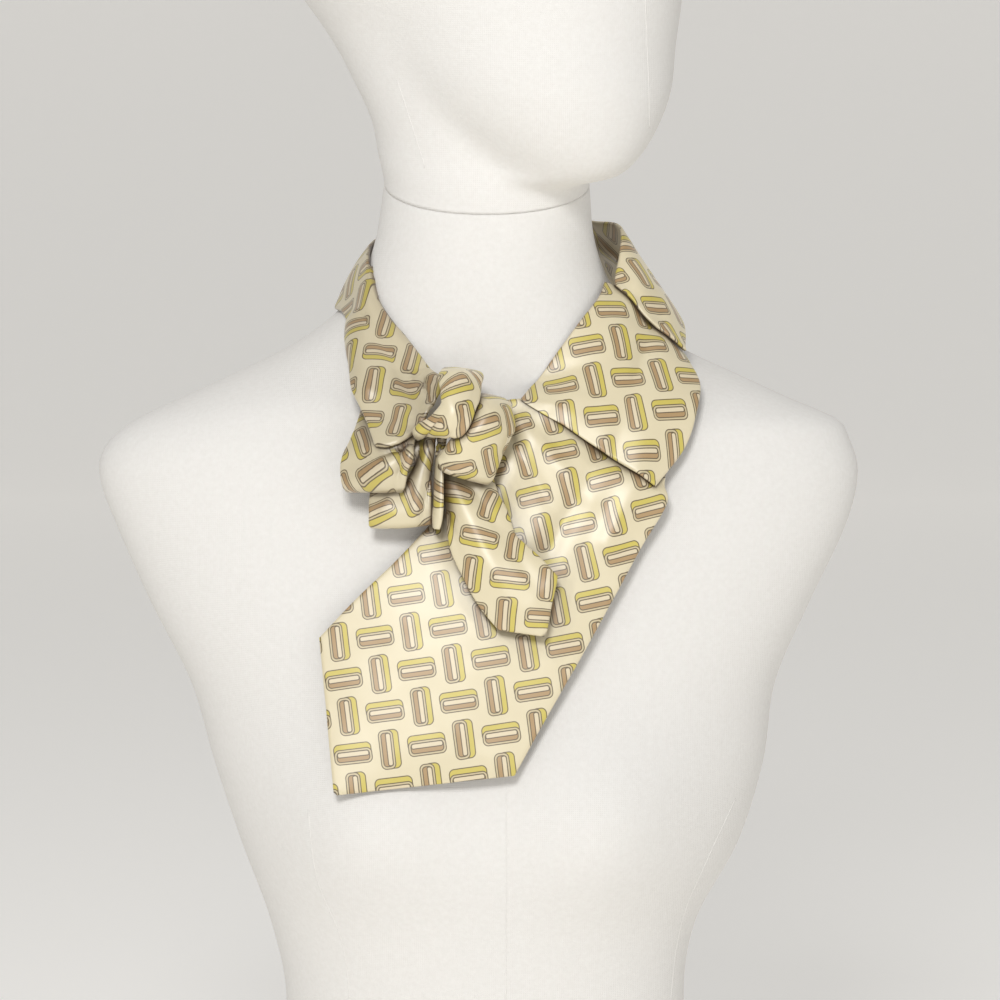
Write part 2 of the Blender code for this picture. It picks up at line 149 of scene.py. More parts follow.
# Sections across each stretch: the x, y, z of one edge, the middle and the other edge
NECK_BAND = (
    (-19, -77, 448, -36, -91, 422, -52, -90, 416),
    (-21, -71, 451, -40, -85, 430, -57, -84, 426),
    (-26, -64, 454, -44, -77, 439, -62, -76, 436),
    (-32, -55, 460, -50, -67, 453, -66, -66, 445),
    (-43, -42, 474, -55, -56, 464, -67, -54, 455),
    (-52, -25, 489, -60, -40, 479, -69, -34, 468),
    (-57, -8, 508, -63, -14, 495, -70, -10, 480),
    (-58, 14, 517, -69, 16, 501, -76, 18, 483),
    (-46, 40, 523, -55, 50, 507, -61, 56, 489),
    (-22, 56, 527, -26, 66, 510, -28, 73, 492),
    (4, 60, 529, 4, 71, 512, 4, 78, 494),
    (32, 55, 530, 37, 66, 512, 41, 72, 494),
    (56, 38, 529, 63, 46, 511, 71, 52, 491),
    (69, 14, 526, 79, 20, 509, 91, 26, 485),
    (69, -2, 511, 86, -2, 497, 101, 4, 477),
    (67, -10, 502, 88, -14, 487, 102, -12, 469),
    (65, -17, 495, 83, -27, 477, 99, -26, 461),
)
BAND_NAMES = ("collar_left", "collar_back", "collar_right_back")
BAND_SHARES = (0, 0.37, 0.77, 1)
BAND_CUTS = ((-1,), (0, -1), (0,))

RIGHT_FRONT = (
    (18, -64, 440, 55, -76, 417, 85, -75, 396),
    (24, -58, 447, 64, -70, 428, 100, -66, 415),
    (30, -53, 454, 69, -61, 442, 107, -57, 434),
    (39, -48, 466, 73, -50, 456, 109, -44, 446),
    (48, -41, 478, 77, -37, 470, 104, -32, 456),
    (57, -29, 489, 79, -24, 478, 100, -20, 462),
    (61, -14, 497, 82, -9, 486, 101, -3, 469),
)
BLADE = (
    (-82, -88, 322, -34, -103, 290, 15, -110, 256),
    (-64, -87, 341, -16, -99, 314, 32, -104, 286),
    (-44, -84, 360, 3, -94, 339, 49, -97, 315),
    (-26, -80, 379, 21, -88, 364, 66, -89, 345),
    (-10, -76, 397, 36, -82, 385, 79, -82, 368),
    (0, -73, 415, 45, -78, 404, 91, -77, 388),
    (6, -68, 427, 45, -70, 421, 90, -72, 397),
    (10, -64, 439, 44, -65, 435, 92, -66, 410),
)
BLADE_POINT = (-74, -109, 246)
TAIL = (
    (7, -104, 328, 22, -106, 340, 36, -101, 354),
    (-2, -102, 339, 15, -104, 352, 28, -98, 362),
    (-10, -99, 353, 6, -102, 361, 20, -95, 369),
    (-16, -95, 366, 0, -99, 371, 15, -93, 374),
    (-19, -91, 382, -4, -96, 383, 11, -90, 385),
    (-21, -86, 395, -7, -91, 395, 6, -86, 394),
    (-21, -82, 406, -9, -87, 404, 3, -82, 404),
)
TAIL_POINT = (30, -107, 325)
LOWER_LOOP = (
    (-32, -82, 422, -28, -83, 422, -24, -82, 422),
    (-40, -83, 416, -33, -86, 416, -25, -86, 416),
    (-49, -84, 408, -37, -88, 407, -26, -88, 408),
    (-55, -86, 399, -41, -90, 399, -26, -90, 400),
    (-57, -87, 390, -42, -91, 390, -26, -92, 391),
    (-57, -89, 383, -42, -92, 382, -26, -92, 384),
    (-57, -88, 379, -42, -91, 379, -26, -91, 381),
    (-57, -86, 380, -42, -88, 380, -26, -88, 382),
    (-56, -84, 386, -41, -87, 385, -26, -87, 387),
    (-54, -82, 394, -40, -85, 394, -26, -85, 396),
)
LEFT_LOOP = (
    (-62, -62, 434, -47, -68, 431, -34, -76, 422),
    (-64, -70, 426, -49, -82, 424, -34, -88, 421),
    (-67, -76, 418, -51, -90, 417, -35, -92, 418),
    (-70, -81, 412, -53, -94, 410, -36, -95, 413),
    (-71, -85, 405, -54, -96, 403, -38, -96, 407),
    (-70, -87, 400, -54, -96, 399, -39, -96, 402),
    (-69, -86, 397, -54, -94, 397, -40, -94, 397),
    (-68, -83, 397, -54, -92, 397, -41, -92, 398),
    (-68, -80, 401, -54, -90, 401, -40, -90, 403),
    (-67, -74, 408, -52, -85, 408, -38, -87, 409),
)
KNOT_FOLD = (
    (-21.5, -76, 421, -21.3, -81, 421, -19.0, -84, 421),
    (-22.5, -80, 412, -22.0, -87, 412, -19.5, -90, 412),
    (-23.3, -82, 401, -23.0, -91, 401, -20.0, -94, 401),
    (-23.5, -84, 391, -23.2, -93, 391, -20.0, -96, 391),
    (-23.5, -86, 383, -23.2, -94, 383, -20.5, -97, 383),
    (-23.5, -87, 377, -23.2, -94, 377, -21.5, -97, 377),
)
KNOT_WRAP = (
    (-2, -66, 440, 4, -67, 439, 10, -66, 438),
    (-4, -78, 442, 3, -82, 441, 10, -74, 439),
    (-5, -88, 439, 3, -93, 438, 12, -80, 437),
    (-7, -94, 434, 3, -99, 433, 13, -84, 433),
    (-10, -96, 428, 1, -101, 427, 14, -87, 427),
    (-16, -97, 421, -2, -101, 420, 12, -89, 420),
    (-20, -97, 415, -6, -101, 414, 9, -90, 414),
    (-22, -97, 411, -8, -100, 408, 6, -91, 407),
    (-21, -97, 408, -10, -99, 404, 3, -92, 401),
    (-20, -92, 409, -10, -93, 405, 1, -88, 402),
)
KNOT_TAB = (
    (-33, -92, 425, -34, -93, 424, -33, -91, 422),
    (-30, -96, 428, -30, -98, 426, -29, -95, 423),
    (-26, -99, 431, -25, -102, 428, -23, -98, 424),
    (-22, -101, 435, -20, -105, 431, -17, -101, 423),
    (-19, -101, 440, -15, -106, 435, -11, -103, 424),
    (-20, -98, 444, -14, -104, 439, -7, -102, 429),
    (-21, -94, 447, -13, -101, 444, -4, -98, 435),
    (-22, -90, 451, -12, -97, 449, -3, -94, 441),
    (-22, -86, 452, -12, -92, 453, -2, -89, 447),
    (-21, -80, 454, -11, -85, 454, -1, -83, 451),
    (-20, -74, 454, -11, -77, 454, -2, -75, 452),
    (-19, -70, 451, -11, -71, 451, -3, -71, 450),
    (-18, -68, 445, -11, -68, 444, -4, -68, 443),
)

# Creases: start and end (along and across the stretch, 0 to 1), half width and height in millimetres
FOLD_COLUMNS = ("along1", "across1", "along2", "across2", "half_width", "height")
BAND_FOLDS = (
    (0.02, 0.35, 0.22, 0.55, 4, -2.0),
    (0.10, 0.75, 0.24, 0.80, 5, 2.0),
    (0.55, 0.30, 0.78, 0.45, 6, -2.0),
    (0.74, 0.25, 0.95, 0.30, 6, 2.5),
    (0.80, 0.55, 0.98, 0.62, 5, -2.0),
)
RIGHT_FOLDS = (
    (0.00, 0.18, 0.85, 0.25, 7, 2.0),
    (0.05, 0.38, 0.60, 0.42, 6, -1.5),
    (0.10, 0.70, 0.90, 0.66, 9, 2.0),
)
BLADE_FOLDS = (
    (0.72, 0.20, 1.00, 0.10, 6, 2.0),
    (0.66, 0.42, 1.00, 0.28, 6, -1.5),
    (0.60, 0.75, 1.00, 0.60, 9, 2.0),
)

# Crisp creases, in the camera's frame: where each starts and ends, its half width and its height, which fades
CREASE_DEPTH = 1.15     # times each height below
CREASE_FADE = 0.7       # the share of its height that a crease has lost at its end
CREASE_COLUMNS = ("x1", "y1", "x2", "y2", "half_width", "height")
CREASES = {
    "collar_left": (
        (424, 384, 437, 416, 1.6, -1.6),
        (432, 380, 442, 404, 1.6, 1.0),
        (412, 380, 426, 374, 1.4, -1.2),
        (418, 428, 366, 414, 4.0, -1.2),
        (436, 412, 384, 436, 3.0, 1.4),
    ),
    "left_loop": (
        (414, 446, 352, 466, 2.6, -2.0),
        (412, 456, 350, 482, 3.0, 1.4),
        (411, 450, 403, 487, 1.8, 1.6),
        (404, 452, 395, 487, 2.2, -1.4),
        (398, 446, 362, 450, 2.0, 0.9),
    ),
    "lower_loop": (
        (420, 455, 394, 505, 2.2, -1.5),
        (428, 450, 414, 518, 2.4, 1.4),
        (430, 470, 420, 524, 1.6, -1.2),
        (400, 490, 378, 520, 3.0, 1.0),
    ),
    "knot_wrap": (
        (507, 436, 494, 474, 1.6, -1.2),
        (446, 467, 486, 484, 1.3, -0.9),
        (444, 461, 490, 477, 1.5, 0.9),
        (470, 470, 480, 486, 1.2, -0.7),
        (462, 446, 500, 410, 3.0, 0.8),
    ),
    "knot_tab": (
        (424, 436, 448, 412, 1.6, -1.4),
        (420, 431, 446, 407, 1.5, 0.9),
        (450, 436, 471, 402, 1.8, -0.8),
        (468, 372, 482, 388, 1.2, -1.0),
        (445, 400, 462, 376, 2.4, 0.8),
    ),
    "tail": (
        (452, 486, 512, 606, 4.0, 1.4),
        (466, 480, 548, 606, 4.0, -1.2),
        (444, 500, 470, 580, 2.5, -1.0),
    ),
    "collar_right_front": (
        (527, 397, 592, 444, 6.0, -2.4),
        (520, 392, 600, 402, 4.0, 1.2),
        (540, 380, 640, 352, 5.0, -1.2),
    ),
    "blade": (
        (505, 430, 560, 520, 4.0, -1.4),
        (520, 425, 590, 500, 4.0, 1.2),
    ),
}

# Where a fold starts out pressed flat: the middle and the radius of that place in the camera's frame
PRESSED = {"collar_right_front": (535.0, 400.0, 95.0)}
PRESSED_LEAST = 0.25    # of the wall's thickness

# Shade kept in the silk's colour, set against the photograph
HOLLOW_RAYS = 20
HOLLOW_REACH = 0.030    # how near cloth or form has to be to count, in metres
HOLLOW_START = 0.0004   # how far off the surface a ray starts, in metres
HOLLOW_TIMES = 1.5
HOLLOW_MOST = 0.85
GOLDEN_TURN = 2.399963  # radians
# Painted shade over the whole of three stretches, added to their shade in folds
SHADED_ALL_OVER = {"collar_left_silk": 0.13, "left_loop_silk": 0.10, "lower_loop_silk": 0.04}

# Where the print lies on each stretch, in the camera's frame of 1000 by 1000: the middle of one upright link,
# the step to the next link on its yellow side and the step to the next one above it
PRINT = {
    "blade": (380.7, 674.5, 36.1, -6.5, -3.4, -37.3),
    "collar_right_front": (594.5, 381, 32.6, -6.8, -2.9, -35.8),
    "collar_right_back": (639, 275, 14, -5, -8.5, -32),
    "collar_left": (406, 393, -6, 34, 27, 4),
    "left_loop": (363, 444, -28, 14, 13, 25),
    "lower_loop": (411, 498, -31, 14, 14, 31),
    "knot_fold": (437, 490, -12, 33, 33, 12),
    "tail": (479.5, 538, -7.3, 34.7, 35, 10.5),
    "knot_wrap": (484, 428, 7, 30, 30, -12),
    "knot_tab": (454, 387, 14, 25, 27, -20),
}
LEAST_PITCH = 0.88      # how far the print's steps may depart from PITCH
MOST_PITCH = 1.12


def column(rows, columns, name):
    return np.array([row[columns.index(name)] for row in rows], dtype=float)


def through(stations, values, wanted):
    """Values of a smooth curve through each row of values, read at the wanted stations."""
    steps = np.diff(stations)
    rates = np.diff(values, axis=0) / steps[:, None]
    slopes = np.vstack((rates[:1], (rates[1:] + rates[:-1]) / 2, rates[-1:]))
    places = np.asarray(wanted, dtype=float)
    index = np.clip(np.searchsorted(stations, places, side="right") - 1, 0, len(steps) - 1)
    step = steps[index][:, None]
    part = ((places - stations[index]) / steps[index])[:, None]
    start = (1 + 2 * part) * (1 - part) ** 2 * values[index]
    leave = part * (1 - part) ** 2 * step * slopes[index]
    end = part * part * (3 - 2 * part) * values[index + 1]
    arrive = part * part * (part - 1) * step * slopes[index + 1]
    return start + leave + end + arrive


# Meshes


def add_mesh(name, points, faces, body="root"):
    """A smooth-shaded piece from points in millimetres, riding on a body of the frame."""
    mesh = bpy.data.meshes.new(name)
    mesh.from_pydata((np.asarray(points) * MM).tolist(), [], faces)
    mesh.update()
    mesh.shade_smooth()
    piece = bpy.data.objects.new(name, mesh)
    bpy.context.scene.collection.objects.link(piece)
    if body:
        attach(piece, body)
    return piece


def ring_faces(rings, count):
    """Quads between rings of points, the first closed by a reversed face and the last by a face."""
    faces = [tuple(reversed(range(count)))]
    for ring in range(rings - 1):
        low = ring * count
        for place in range(count):
            after = (place + 1) % count
            faces.append((low + place, low + after, low + count + after, low + count + place))
    top = (rings - 1) * count
    faces.append(tuple(range(top, top + count)))
    return faces


# The form


def torso_ring(row, angles):
    values = dict(zip(TORSO_COLUMNS, row))
    middle = (values["right"] + values["left"]) / 2
    reach = (values["right"] - values["left"]) / 2
    power = 2 / values["square"]
    across = middle + reach * np.sign(np.cos(angles)) * np.abs(np.cos(angles)) ** power
    depth = np.where(np.sin(angles) > 0, values["back"], -values["front"])
    along = depth * np.sign(np.sin(angles)) * np.abs(np.sin(angles)) ** power
    height = values["height"] + values["slope"] * along
    for side in (-1, 1):
        off = ((across - side * BUST_ACROSS) ** 2 + (height - BUST_HEIGHT) ** 2) / BUST_SPREAD ** 2
        along = along - np.where(np.sin(angles) < 0, BUST_DEPTH * np.exp(-off), 0)
    return np.stack((across, along, height), axis=1)


def reach_of_oval(turned, forward, length, width):
    """How far a ray from the middle of the neck reaches before it leaves an oval set forward of it."""
    square = (np.cos(turned) / length) ** 2 + (np.sin(turned) / width) ** 2
    linear = -2 * forward * np.cos(turned) / length ** 2
    rest = (forward / length) ** 2 - 1
    return (np.sqrt(linear ** 2 - 4 * square * rest) - linear) / (2 * square)


def head_ring(row, neck, angles):
    """One section of the head: a chin and a nape oval joined softly, blended from the neck's outline."""
    values = dict(zip(HEAD_COLUMNS, row))
    front = HEAD_TURN - pi / 2
    turned = angles - front
    chin = reach_of_oval(turned, values["chin_forward"], values["chin_length"], values["chin_width"])
    nape = reach_of_oval(turned, -values["nape_back"], values["nape_reach"], values["nape_reach"])
    reach = (chin + nape + np.sqrt((chin - nape) ** 2 + JAW_SOFTNESS ** 2)) / 2
    across = neck[:, 0] + (reach * np.cos(angles) - neck[:, 0]) * values["own"]
    along = neck[:, 1] + (reach * np.sin(angles) - neck[:, 1]) * values["own"]
    toward_chin = across * cos(front) + along * sin(front)
    height = values["height"] + values["slope"] * along - values["tilt"] * toward_chin
    return np.stack((across, along, height), axis=1)


def build_torso(material):
    heights = column(TORSO, TORSO_COLUMNS, "height")
    wanted = np.unique(np.concatenate((np.arange(0, 549, 4.0), [549])))
    rows = through(heights, np.array(TORSO, dtype=float), wanted)
    angles = np.arange(TORSO_SIDES) * 2 * pi / TORSO_SIDES
    rings = [torso_ring(row, angles) for row in rows]
    torso = add_mesh("torso_cover", np.concatenate(rings), ring_faces(len(rings), len(angles)))
    torso.data.materials.append(material)
    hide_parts("form_torso")
    return torso


def build_head(material):
    heights = column(HEAD, HEAD_COLUMNS, "height")
    wanted = np.concatenate((np.linspace(549.3, 574, 18), np.arange(577, 755, 4.0), np.linspace(757, 770, 9)))
    rows = through(heights, np.array(HEAD, dtype=float), wanted)
    angles = np.arange(HEAD_SIDES) * 2 * pi / HEAD_SIDES
    neck = torso_ring(TORSO[-1], angles)
    rings = [head_ring(row, neck, angles) for row in rows]
    head = add_mesh("head_cover", np.concatenate(rings), ring_faces(len(rings), len(angles)))
    head.data.materials.append(material)
    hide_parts("form_head")
    return head


def build_seams(form, material):
    """The raised seams of the linen cover, as one mesh of thin ridges."""
    trees = [surface_of(piece) for piece in form]
    points = []
    faces = []
    for side, marks in SEAMS:
        table = np.array(marks, dtype=float)
        lengths = np.concatenate(([0.0], np.cumsum(np.linalg.norm(np.diff(table, axis=0), axis=1))))
        met = []
        for x, z in through(lengths, table, np.arange(0, lengths[-1], SEAM_STEP)):
            way = Vector((0, -side, 0))
            hits = [tree.ray_cast(Vector((x, side * SEAM_START, z)), way) for tree in trees]
            hits = [hit for hit in hits if hit[0] is not None]
            if hits:
                nearest = min(hits, key=lambda hit: hit[3])
                met.append((np.array(nearest[0]), np.array(nearest[1])))
        places = np.array([place for place, _ in met])
        outs = np.array([out for _, out in met])
        lines = np.gradient(places, axis=0)
        lines /= np.linalg.norm(lines, axis=1, keepdims=True)
        acrosses = np.cross(lines, outs)
        base = len(points)
        for place, out, across in zip(places, outs, acrosses):
            for wide, high in ((-1, -0.5), (-0.5, 1), (0.5, 1), (1, -0.5)):
                points.append(place + across * wide * SEAM_WIDTH / 2 + out * high * SEAM_HEIGHT)
        for step in range(len(places) - 1):
            for place in range(4):
                a = base + 4 * step + place
                b = base + 4 * step + (place + 1) % 4
                faces.append((a, b, b + 4, a + 4))
        last = base + 4 * (len(places) - 1)
        faces.append((base + 3, base + 2, base + 1, base))
        faces.append((last, last + 1, last + 2, last + 3))
    seams = add_mesh("cover_seams", np.array(points), faces)
    seams.data.materials.append(material)


# Cloth


def surface_of(piece):
    """A piece's surface in millimetres, for finding where rays meet it."""
    piece.data.calc_loop_triangles()
    points = [vertex.co / MM for vertex in piece.data.vertices]
    return BVHTree.FromPolygons(points, [tuple(t.vertices) for t in piece.data.loop_triangles])


class Cover:
    """What lies beneath the next stretch: the outermost surface met from outside."""

    REACH = 90.0

    def __init__(self):
        self.trees = []

    def add(self, piece):
        self.trees.append(surface_of(piece))

    def shortfall(self, point, way):
        """How far a point must move along its way out to reach the surface met from outside."""
        way = Vector(way)
        start = Vector(point) + way * self.REACH
        needed = -self.REACH
        for tree in self.trees:
            place, _, _, distance = tree.ray_cast(start, -way, 2 * self.REACH)
            if place is not None:
                needed = max(needed, self.REACH - distance)
        return needed


def blur(values):
    padded = np.pad(values, 1, mode="edge")
    total = 4 * padded[1:-1, 1:-1]
    total += 2 * (padded[:-2, 1:-1] + padded[2:, 1:-1] + padded[1:-1, :-2] + padded[1:-1, 2:])
    total += padded[:-2, :-2] + padded[:-2, 2:] + padded[2:, :-2] + padded[2:, 2:]
    return total / 16


def normals_of(grid):
    normals = np.cross(np.gradient(grid, axis=0), np.gradient(grid, axis=1))
    return normals / np.maximum(np.linalg.norm(normals, axis=2, keepdims=True), 1e-9)


def sections(rows, stations):
    """Points of the three lines of a stretch at even stations, from 0 to 1, along its middle."""
    table = np.array(rows, dtype=float)
    lengths = np.concatenate(([0.0], np.cumsum(np.linalg.norm(np.diff(table[:, 3:6], axis=0), axis=1))))
    return through(lengths, table, stations * lengths[-1]), lengths[-1]


def spread(lines, part):
    """A grid across three lines, each section a smooth arc through its three points."""
    edge1, middle, edge2 = (lines[:, None, index:index + 3] for index in (0, 3, 6))
    part = part[None, :, None]
    weight1 = 2 * (part - 0.5) * (part - 1)
    weight2 = 2 * part * (part - 0.5)
    return weight1 * edge1 + 4 * part * (1 - part) * middle + weight2 * edge2


def edge_steps(width):
    """Places across a strip, close together where its edges roll over."""
    inside = np.array(ROLL_STEPS) * EDGE_ROLL / width
    count = max(4, round((width - 2 * ROLL_STEPS[-1] * EDGE_ROLL) / CELL))
    middle = np.linspace(inside[-1], 1 - inside[-1], count + 1)
    return np.concatenate((inside[:-1], middle, 1 - inside[-2::-1]))


def fold(grid, folds, out):
    high = len(grid) - 1
    wide = len(grid[0]) - 1
    lift = np.zeros(grid.shape[:2])
    for row in folds:
        values = dict(zip(FOLD_COLUMNS, row))
        start = grid[round(values["along1"] * high), round(values["across1"] * wide)]
        end = grid[round(values["along2"] * high), round(values["across2"] * wide)]
        line = end - start
        part = np.clip(((grid - start) @ line) / (line @ line), 0, 1)
        off = np.linalg.norm(grid - start - part[..., None] * line, axis=2)
        lift += values["height"] * np.exp(-(off / values["half_width"]) ** 2)
    return grid + lift[..., None] * out


def crease(name, grid):
    """Crisp ridges and valleys on the side that faces the camera, as the photograph shows them."""
    out = normals_of(grid)
    place = seen(grid)
    facing = np.clip(-4 * out[..., 1], 0, 1)
    scale = VIEW_WIDTH / FRAME / MM
    lift = np.zeros(grid.shape[:2])
    for row in CREASES.get(name, ()):
        values = dict(zip(CREASE_COLUMNS, row))
        start = np.array((values["x1"], values["y1"]))
        line_across = np.array((values["x2"], values["y2"])) - start
        part = np.clip(((place - start) @ line_across) / (line_across @ line_across), 0, 1)
        off = np.linalg.norm(place - start - part[..., None] * line_across, axis=2) * scale
        height = CREASE_DEPTH * values["height"] * (1 - CREASE_FADE * part)
        lift += height * np.exp(-(off / values["half_width"]) ** 2)
    return grid + (lift * facing)[..., None] * out


def ways_out(grid, style):
    if style == "chest":
        ways = np.zeros_like(grid)
        ways[..., 1] = -1
        ways[..., 2] = 0.15
    else:
        ways = grid.copy()
        ways[..., 2] = 0.45 * np.linalg.norm(grid[..., :2], axis=2)
    return ways / np.linalg.norm(ways, axis=2, keepdims=True)


def lay(grid, cover, style):
    """Lifts a stretch's inner face until both faces of its wall clear what lies beneath."""
    ways = ways_out(grid, style)
    outer = grid + CLOTH * normals_of(grid)
    needed = np.zeros(grid.shape[:2])
    for index in np.ndindex(needed.shape):
        inner_short = cover.shortfall(grid[index], ways[index])
        outer_short = cover.shortfall(outer[index], ways[index])
        needed[index] = max(inner_short, outer_short, -AIR) + AIR
    lift = needed
    for _ in range(LAY_STEPS):
        lift = np.maximum(needed, blur(lift))
    return grid + lift[..., None] * ways


def crumple(grid, height, seed):
    """Slight unevenness, as pressed silk has."""
    normals = normals_of(grid)
    lift = np.zeros(grid.shape[:2])
    for index in np.ndindex(lift.shape):
        place = Vector(grid[index]) * 0.035 + Vector((seed, 0, 0))
        lift[index] = noise.noise(place) + 0.4 * noise.noise(place * 2.7)
    return grid + (height * lift)[..., None] * normals


def edge_distance(grid):
    """How far each point of a grid is from the sheet's nearest edge."""
    rim = np.concatenate((grid[0], grid[1:, -1], grid[-1, -2::-1], grid[-2:0:-1, 0]))
    ends = np.roll(rim, -1, axis=0) - rim
    squares = np.maximum(np.sum(ends * ends, axis=1), 1e-12)
    flat = grid.reshape(-1, 3)
    nearest = np.full(len(flat), np.inf)
    for start, line, square in zip(rim, ends, squares):
        part = np.clip(((flat - start) @ line) / square, 0, 1)
        nearest = np.minimum(nearest, np.linalg.norm(flat - start - part[:, None] * line, axis=1))
    return nearest.reshape(grid.shape[:2])


def flatten(name, grid):
    """Texture coordinates in millimetres that unroll the sheet with the least stretch."""
    high, wide = grid.shape[:2]
    faces = []
    for row in range(high - 1):
        for place in range(wide - 1):
            corner = row * wide + place
            faces.append((corner, corner + wide, corner + wide + 1, corner + 1))
    mesh = bpy.data.meshes.new(name + "_flat")
    mesh.from_pydata((grid.reshape(-1, 3) * MM).tolist(), [], faces)
    mesh.uv_layers.new(name="flat")
    sheet = bpy.data.objects.new(name + "_flat", mesh)
    bpy.context.scene.collection.objects.link(sheet)
    bpy.context.view_layer.objects.active = sheet
    sheet.select_set(True)
    bpy.ops.object.mode_set(mode="EDIT")
    bpy.ops.mesh.select_all(action="SELECT")
    bpy.ops.uv.unwrap(method="MINIMUM_STRETCH", margin=0.0, iterations=12)
    bpy.ops.object.mode_set(mode="OBJECT")
    found = np.zeros((len(mesh.loops), 2))
    layer = mesh.uv_layers["flat"].data
    for index in range(len(found)):
        found[index] = layer[index].uv
    corners = np.array([loop.vertex_index for loop in mesh.loops])
    flat = np.zeros((high * wide, 2))
    flat[corners] = found
    bpy.data.objects.remove(sheet)
    bpy.data.meshes.remove(mesh)
    flat = flat.reshape(high, wide, 2)
    cells = np.cross(grid[1:, 1:] - grid[:-1, :-1], grid[1:, :-1] - grid[:-1, 1:])
    real = np.linalg.norm(cells, axis=2).sum()
    down = flat[1:, 1:] - flat[:-1, :-1]
    up = flat[1:, :-1] - flat[:-1, 1:]
    drawn = np.abs(down[..., 0] * up[..., 1] - down[..., 1] * up[..., 0]).sum()
    return flat * sqrt(real / drawn)


def seen(points):
    """Where points lie in the camera's frame of 1000 by 1000."""
    moved = points - np.array(VIEW_TARGET) / MM
    rise = sin(VIEW_ELEVATION)
    run = cos(VIEW_ELEVATION)
    depth = VIEW_DISTANCE / MM + moved[..., 1] * run - moved[..., 2] * rise
    up = moved[..., 1] * rise + moved[..., 2] * run
    scale = FRAME * VIEW_DISTANCE / VIEW_WIDTH / depth
    return np.stack((FRAME / 2 + scale * moved[..., 0], FRAME / 2 - scale * up), axis=-1)


def place_print(name, grid, flat):
    """Places the print on the flattened sheet so that its links land where the photograph has them."""
    link = np.array(PRINT[name][:2])
    place = seen(grid)
    off = np.linalg.norm(place - link, axis=2)
    hidden = normals_of(grid)[..., 1] > -0.05
    row, spot = np.unravel_index(np.argmin(off + 1000 * hidden), off.shape)
    row = int(np.clip(row, 2, len(grid) - 3))
    spot = int(np.clip(spot, 2, len(grid[0]) - 3))
    steps = ((row + 2, spot, row - 2, spot), (row, spot + 2, row, spot - 2))
    seen_steps = np.array([place[a, b] - place[c, d] for a, b, c, d in steps]).T
    flat_steps = np.array([flat[a, b] - flat[c, d] for a, b, c, d in steps]).T
    onto_flat = flat_steps @ np.linalg.inv(seen_steps)
    cell = onto_flat @ np.array((PRINT[name][2:4], PRINT[name][4:6])).T
    lengths = np.linalg.norm(cell, axis=0)
    first, _, second = np.linalg.svd(cell / lengths)
    lengths = np.clip(lengths / PITCH, LEAST_PITCH, MOST_PITCH)
    onto_print = np.linalg.inv((first @ second) * lengths)
    middle = flat[row, spot] + onto_flat @ (link - place[row, spot])
    return (flat - middle) @ onto_print.T


def pressed(name, grid):
    """The share of its thickness that each point keeps: less where a fold starts out pressed flat."""
    if name not in PRESSED:
        return 1.0
    x, y, radius = PRESSED[name]
    away = np.linalg.norm(seen(grid) - np.array((x, y)), axis=2)
    return np.clip(away / radius, PRESSED_LEAST, 1)[..., None]


def shell(name, grid, uvs, material, out=None, inset=None, cuts=()):
    """A closed wall of cloth on a grid, its inner face, with edges that roll over.

    The rows named in cuts, 0 and -1, are where it was cut from a longer strip: they end square.
    """
    high, wide = grid.shape[:2]
    out = normals_of(grid) if out is None else out
    inset = edge_distance(grid) if inset is None else inset
    distance = np.clip(inset / EDGE_ROLL, 0, 1)
    half = pressed(name, grid) * CLOTH / 2
    swell = np.sqrt(1 - (1 - distance) ** 2)[..., None] * half
    middle = grid + out * half
    outer = (middle + out * swell).reshape(-1, 3)
    inner = (middle - out * swell).reshape(-1, 3)
    total = high * wide
    rim = np.zeros((high, wide), dtype=bool)
    rim[0] = 0 not in cuts
    rim[-1] = -1 not in cuts
    rim[:, 0] = rim[:, -1] = True
    rim = rim.reshape(-1)
    under = np.where(rim, np.arange(total), np.arange(total) + total)
    faces = []
    for row in range(high - 1):
        for place in range(wide - 1):
            a = row * wide + place
            corners = (a, a + wide, a + wide + 1, a + 1)
            faces.append(corners)
            faces.append(tuple(int(under[corner]) for corner in reversed(corners)))
    walls = len(faces)
    for cut in cuts:
        first = 0 if cut == 0 else total - wide
        for place in range(first, first + wide - 1):
            ends = (place, place + 1) if cut == 0 else (place + 1, place)
            face = (*ends, int(under[ends[1]]), int(under[ends[0]]))
            faces.append(tuple(dict.fromkeys(face)))
    used = np.concatenate((np.arange(total), np.arange(total)[~rim] + total))
    renumber = np.zeros(2 * total, dtype=int)
    renumber[used] = np.arange(len(used))
    points = np.concatenate((outer, inner))[used]
    faces = [tuple(int(renumber[corner]) for corner in face) for face in faces]
    piece = add_mesh(name + "_silk", points, faces)
    capped = {key for face in piece.data.polygons[walls:] for key in face.edge_keys}
    for edge in piece.data.edges:
        edge.use_edge_sharp = edge.key in capped
    layer = piece.data.uv_layers.new(name="cloth")
    flat = np.concatenate((uvs.reshape(-1, 2), uvs.reshape(-1, 2)))[used] * MM
    corners = np.zeros(len(piece.data.loops), dtype=int)
    piece.data.loops.foreach_get("vertex_index", corners)
    layer.data.foreach_set("uv", flat[corners].ravel())
    piece.data.materials.append(material)
    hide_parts(name)
    return piece


def oriented(grid, style):
    """Puts the grid's normals on the outer side."""
    if np.sum(normals_of(grid) * ways_out(grid, style)) < 0:
        return grid[:, ::-1]
    return grid


